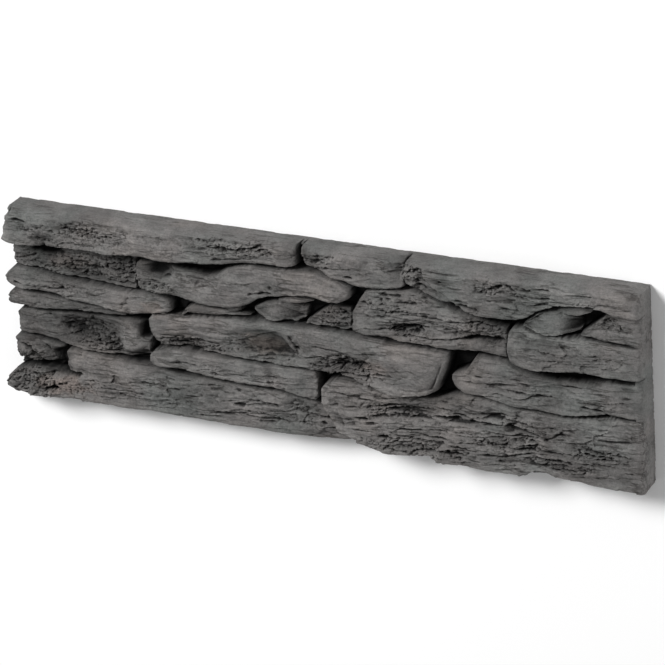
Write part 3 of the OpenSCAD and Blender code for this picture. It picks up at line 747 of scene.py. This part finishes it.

# %% Work out how dark each place is, painted shade included
# Middle, reach along X and Y, and shade: under 1 darker, over 1 lighter. Many of these ovals are
# painted shade in pockets, gaps, recessed stones and facets turned from the light, or a painted
# highlight on lit bulges and ends; the rest are the concrete's own tone.
TONES_AND_PAINTED_LIGHT = [
    (-190, 24, 45, 5, 0.80), (-182, -16, 34, 14, 0.70), (-144, -20, 8, 11, 1.12), (-226, -18, 11, 10, 1.05),
    (-225, -42, 25, 10, 0.85), (-185, 36, 50, 10, 0.85), (192, 22, 50, 12, 0.86), (212, -56, 40, 16, 0.80),
    (-228, -63, 20, 9, 0.80), (-11, 67, 8, 11, 0.72), (199, 43, 7, 8, 0.76), (-15, 20, 11, 7, 0.80),
    (-117, 40, 9, 6, 0.6), (-120, 66, 60, 12, 1.08), (-60, 36, 40, 9, 1.12), (75, -6, 22, 10, 1.10),
    (-236, 62, 12, 12, 1.15), (-30, -5, 20, 10, 0.74), (103, -8, 6, 15, 0.70), (145, -51, 14, 4, 0.62),
    (135, -41, 42, 2.5, 0.70), (104, -27, 16, 5, 0.78), (180, -53, 12, 2.5, 0.65), (182, -62, 20, 3, 0.72),
    (90, -66, 40, 6, 0.82), (217, -47, 13, 4, 0.74), (25, -14, 26, 7, 0.80), (-92, -14, 28, 4, 0.78),
    (77, 23, 16, 5, 0.74), (135, 24, 18, 2.5, 0.66), (-16, -28, 10, 6, 1.12), (62, -24, 20, 4, 1.08),
    (40, -55, 22, 10, 1.06), (195, 72, 40, 8, 1.05), (185, -6, 50, 5, 1.06), (-85, 40, 14, 5, 1.10),
    (-206, 53, 12, 8, 0.85), (152, 20, 5, 10, 0.85), (-60, -34, 60, 5, 1.08), (20, 67, 30, 10, 1.05)
]
# Painted shade: recessed stones darker, low joint floors much darker, and the foot of each step and each
# crack darker still.
tone_and_painted_shade = 1 - 0.46 * step_up(0.0, 1.0, (19.0 - blurred(before_rounding, 4)) / 7)
tone_and_painted_shade *= 1 - 0.72 * step_up(0.0, 1.0, (12.6 - before_rounding) / 3)
tone_and_painted_shade *= (1 - 0.75 * foot_of_step * inside_border) * (1 - 0.55 * crack_shade)
for mx, my, rx, ry, shade in TONES_AND_PAINTED_LIGHT:
    tone_and_painted_shade *= 1 + (shade - 1) * (1 - step_up(0.5, 1.2, oval(mx, my, rx, ry) + ragged * 0.6))
print("tone from", round(tone_and_painted_shade.min(), 2), "to", round(tone_and_painted_shade.max(), 2))

# %% Store the four values in the mesh
def store(name, field):
    """Keep a value from 0 to 1 at each point. Down the walls it fades to 0.5."""
    rim_values = field.reshape(-1)[ring] - 0.5
    down_the_wall = [0.5 + rim_values * (1 - k / wall_rows) ** 8 for k in range(1, wall_rows + 1)]
    values = np.concatenate([field.reshape(-1)] + down_the_wall)
    attribute = skin.attributes.new(name, "FLOAT", "POINT")
    attribute.data.foreach_set("value", values.astype(np.float32))


WARM = [
    (-35, -5, 20, 9, 1.0), (-202, -62, 26, 8, 0.8), (-122, 10, 10, 8, 0.7), (-190, 36, 20, 8, 0.5),
    (50, -8, 12, 8, 0.6)
]
warm = in_ovals(WARM, 0.4, 1.2, 1)
grainy = np.clip(np.maximum(roughness * (1 - worn_smooth), pitted), 0, 1.5)
store("hollow", hollow)
store("tone_and_painted_shade", tone_and_painted_shade / 2)
store("warm", 0.5 + warm / 2)
store("rough", 0.5 + grainy / 3)
print("values stored at each point:", [a.name for a in skin.attributes if a.domain == "POINT"])

# %% [markdown]
# ## Thin out the mesh and close its back
# The net is as fine where the face is plain as where it is broken. Collapsing the edges that change
# the shape least leaves the points where the cracks are, and brings the mesh under 200,000
# triangles. It was chosen over a coarser net because that would blur every crack alike. Then the
# few points that the collapse has pushed out are put back into the casting's box, and one flat face
# closes the back, which was struck off level with the mould.

# %% Collapse what the shape can do without
wanted_triangles = 194000
thinning = tile.modifiers.new("thin_out", "DECIMATE")
thinning.ratio = wanted_triangles / (2 * len(skin.polygons))
thinned = bpy.data.meshes.new_from_object(tile.evaluated_get(bpy.context.evaluated_depsgraph_get()))
tile.modifiers.clear()
print("points left:", len(thinned.vertices))

# %% Close the back
shape = bmesh.new()
shape.from_mesh(thinned)
foot_edges = [edge for edge in shape.edges if edge.is_boundary]
for corner in {corner for edge in foot_edges for corner in edge.verts}:
    corner.co.z = 0.0
for point in shape.verts:
    point.co = [min(max(value, least), most) for value, least, most in zip(point.co, *cad_box)]
bmesh.ops.holes_fill(shape, edges=foot_edges, sides=0)
print("edges left open:", sum(1 for edge in shape.edges if not edge.is_manifold))
shape.to_mesh(skin)
shape.free()
skin.polygons.foreach_set("use_smooth", [True] * len(skin.polygons))
sharp_from = math.radians(58)
skin.set_sharp_from_angle(angle=sharp_from)
print("faces:", len(skin.polygons), "triangles:", sum(len(p.vertices) - 2 for p in skin.polygons))

# %% [markdown]
# ## Dark cast concrete
# The mix is dyed right through with a black pigment, so the ground tone is a dark, slightly warm
# grey. It is not even: some places lean to brown and some to green, there are paler blotches of
# lime, and fine sand shows as speckle. The surface is matt. Everything is made from noise in the
# tile's own measures, with a stretched noise for the grain along the beds.

# %% Make helpers for the nodes
concrete = bpy.data.materials.new("dark_concrete")
concrete.use_nodes = True
tree = concrete.node_tree
shader = tree.nodes["Principled BSDF"]
place = tree.nodes.new("ShaderNodeTexCoord")


def stored(name):
    node = tree.nodes.new("ShaderNodeAttribute")
    node.attribute_name = name
    return node.outputs["Fac"]


def mapped(scale_x, scale_y, scale_z):
    node = tree.nodes.new("ShaderNodeMapping")
    node.inputs["Scale"].default_value = (scale_x, scale_y, scale_z)
    tree.links.new(place.outputs["Object"], node.inputs["Vector"])
    return node.outputs["Vector"]


def cloud(vector, scale, detail, rough):
    node = tree.nodes.new("ShaderNodeTexNoise")
    node.inputs["Scale"].default_value = scale
    node.inputs["Detail"].default_value = detail
    node.inputs["Roughness"].default_value = rough
    tree.links.new(vector, node.inputs["Vector"])
    return node.outputs["Fac"]


def grey(*stops):
    return [(position, (level, level, level)) for position, level in stops]


def ramp(value, stops):
    node = tree.nodes.new("ShaderNodeValToRGB")
    while len(node.color_ramp.elements) < len(stops):
        node.color_ramp.elements.new(0.5)
    for element, (position, color) in zip(node.color_ramp.elements, stops):
        element.position = position
        element.color = (*color, 1.0)
    tree.links.new(value, node.inputs["Fac"])
    return node.outputs["Color"]


def darkened(first, second, share=None):
    """One colour times another, everywhere or by a share that another node gives."""
    node = tree.nodes.new("ShaderNodeMix")
    node.data_type = "RGBA"
    node.blend_type = "MULTIPLY"
    node.inputs["Factor"].default_value = 1.0
    if share is not None:
        tree.links.new(share, node.inputs["Factor"])
    tree.links.new(first, node.inputs["A"])
    tree.links.new(second, node.inputs["B"])
    return node.outputs["Result"]


print("material started with", len(tree.nodes), "nodes")

# %% Make the clouds, streaks and specks
even = mapped(1, 1, 1)
along_beds = mapped(1, 5, 5)
tint = ramp(cloud(even, 26, 3, 0.5), [
    (0.32, (0.126, 0.130, 0.126)), (0.45, (0.131, 0.129, 0.126)),
    (0.58, (0.135, 0.129, 0.126)), (0.70, (0.145, 0.135, 0.129))
])
blotches = ramp(cloud(even, 80, 5, 0.65), grey((0.30, 0.72), (0.50, 0.99), (0.72, 1.18)))
stains = ramp(cloud(even, 30, 3, 0.5), grey((0.36, 0.84), (0.50, 1.0), (0.66, 1.10)))
streaks = ramp(cloud(along_beds, 130, 5, 0.65), grey((0.30, 0.88), (0.52, 1.0), (0.75, 1.08)))
speckle = ramp(cloud(even, 650, 4, 0.75), grey((0.30, 0.72), (0.50, 1.0), (0.70, 1.22)))
dots = ramp(cloud(even, 480, 2, 0.6), [(0.34, (0.30, 0.29, 0.28)), (0.43, (1.0, 1.0, 1.0))])
hair = ramp(cloud(mapped(1, 7, 7), 24, 4, 0.55), [
    (0.46, (1.0, 1.0, 1.0)), (0.50, (0.42, 0.41, 0.40)), (0.54, (1.0, 1.0, 1.0))
])
hair_share = ramp(cloud(even, 38, 3, 0.5), grey((0.50, 0.0), (0.60, 1.0)))
print("clouds and specks made, nodes so far:", len(tree.nodes))

# %% Colour the concrete from the stored values
# Painted shade darkens the cracks and recesses, and a painted highlight lightens the rims that stand out.
painted_shade_and_rim_highlight = ramp(stored("hollow"), [
    (0.20, (1.22, 1.21, 1.20)), (0.46, (1.02, 1.02, 1.02)), (0.58, (0.86, 0.85, 0.84)),
    (0.80, (0.34, 0.33, 0.33)), (1.0, (0.10, 0.10, 0.10))
])
warmth = ramp(stored("warm"), [(0.5, (1.0, 1.0, 1.0)), (1.0, (1.12, 0.99, 0.93))])
rough_share = ramp(stored("rough"), grey((0.55, 0.0), (0.85, 1.0)))
painted_shade_and_tone = ramp(stored("tone_and_painted_shade"), grey((0.0, 0.0), (1.0, 2.0)))
color = tint
for layer in (blotches, stains, warmth, streaks, speckle):
    color = darkened(color, layer)
color = darkened(color, dots, rough_share)
color = darkened(color, painted_shade_and_rim_highlight)
color = darkened(color, hair, hair_share)
color = darkened(color, painted_shade_and_tone)
tree.links.new(color, shader.inputs["Base Color"])
shader.inputs["Roughness"].default_value = 0.9
shader.inputs["Specular IOR Level"].default_value = 0.25
print("material made with", len(tree.nodes), "nodes")

# %% [markdown]
# ## Sand and hairlines
# Below half a millimetre the surface is left to bump: sand grains, the edges of the thinnest
# layers, and hairlines. They are too small to cast a shadow that anyone sees.

# %% Add the finest grain as bump
def bump(height, distance, strength, under):
    node = tree.nodes.new("ShaderNodeBump")
    node.inputs["Distance"].default_value = distance
    node.inputs["Strength"].default_value = strength
    tree.links.new(height, node.inputs["Height"])
    if under is not None:
        tree.links.new(under, node.inputs["Normal"])
    return node.outputs["Normal"]


step_count = 8
steps = tree.nodes.new("ShaderNodeValToRGB")
steps.color_ramp.interpolation = "CONSTANT"
for k in range(step_count):
    element = steps.color_ramp.elements[k] if k < 2 else steps.color_ramp.elements.new(0.9)
    level = k / (step_count - 1)
    element.position = 0.30 + 0.05 * k
    element.color = (level, level, level, 1)
tree.links.new(cloud(mapped(1, 6, 6), 55, 5, 0.6), steps.inputs["Fac"])
normal = bump(cloud(even, 900, 3, 0.7), 0.0006, 1.0, None)
normal = bump(steps.outputs["Color"], 0.0014, 0.6, normal)
normal = bump(hair, 0.0005, 0.8, normal)
tree.links.new(normal, shader.inputs["Normal"])
skin.materials.append(concrete)
print("material finished with", len(tree.nodes), "nodes")

# %% Put the skin in the casting's place
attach(tile, "root")
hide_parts("cladding_tile")
print("skin rides on the root body")

# %% [markdown]
# ## Floor and light
# The tile lies on a pale studio floor. The light is soft and comes mostly from the upper left, as
# from a large window. A low lamp on the right lights the straight end, and the pale surroundings
# fill the rest a little. It is set so that a pale surface comes out nearly white and a dark one as
# dark as its colour says.

# %% Lay the floor
floor_mesh = bpy.data.meshes.new("studio_floor")
half = 6.0
floor_level = -0.0002
floor_corners = [(x * half, y * half, floor_level) for x, y in ((-1, -1), (1, -1), (1, 1), (-1, 1))]
floor_mesh.from_pydata(floor_corners, [], [(0, 1, 2, 3)])
studio_floor = bpy.data.objects.new("studio_floor", floor_mesh)
bpy.context.scene.collection.objects.link(studio_floor)
pale = bpy.data.materials.new("pale_floor")
pale.use_nodes = True
pale_shader = pale.node_tree.nodes["Principled BSDF"]
pale_shader.inputs["Base Color"].default_value = (0.92, 0.92, 0.92, 1)
pale_shader.inputs["Roughness"].default_value = 0.9
pale_shader.inputs["Specular IOR Level"].default_value = 0.0
floor_mesh.materials.append(pale)
print("floor is", 2 * half, "m wide")

# %% Light the tile
world = bpy.data.worlds.new("studio")
bpy.context.scene.world = world
world.use_nodes = True
sky = world.node_tree.nodes["Background"]
sky.inputs["Color"].default_value = (1, 1, 1, 1)
sky.inputs["Strength"].default_value = 0.30


def window(name, direction, distance, size, watts):
    """A square lamp that faces the tile, like a window or a soft box."""
    lamp = bpy.data.lights.new(name, "AREA")
    lamp.shape = "SQUARE"
    lamp.size = size
    lamp.energy = watts
    lit = bpy.data.objects.new(name, lamp)
    bpy.context.scene.collection.objects.link(lit)
    way = Vector(direction).normalized()
    lit.location = way * distance
    lit.rotation_mode = "QUATERNION"
    lit.rotation_quaternion = way.to_track_quat("Z", "Y")


window("upper_left_window", (-0.50, 0.56, 0.64), 6.0, 2.2, 445)
window("right_fill", (1.0, 0.0, 0.08), 6.0, 1.8, 300)
scene = bpy.context.scene
scene.view_settings.view_transform = "Standard"

# %% Finish
print("scene built")
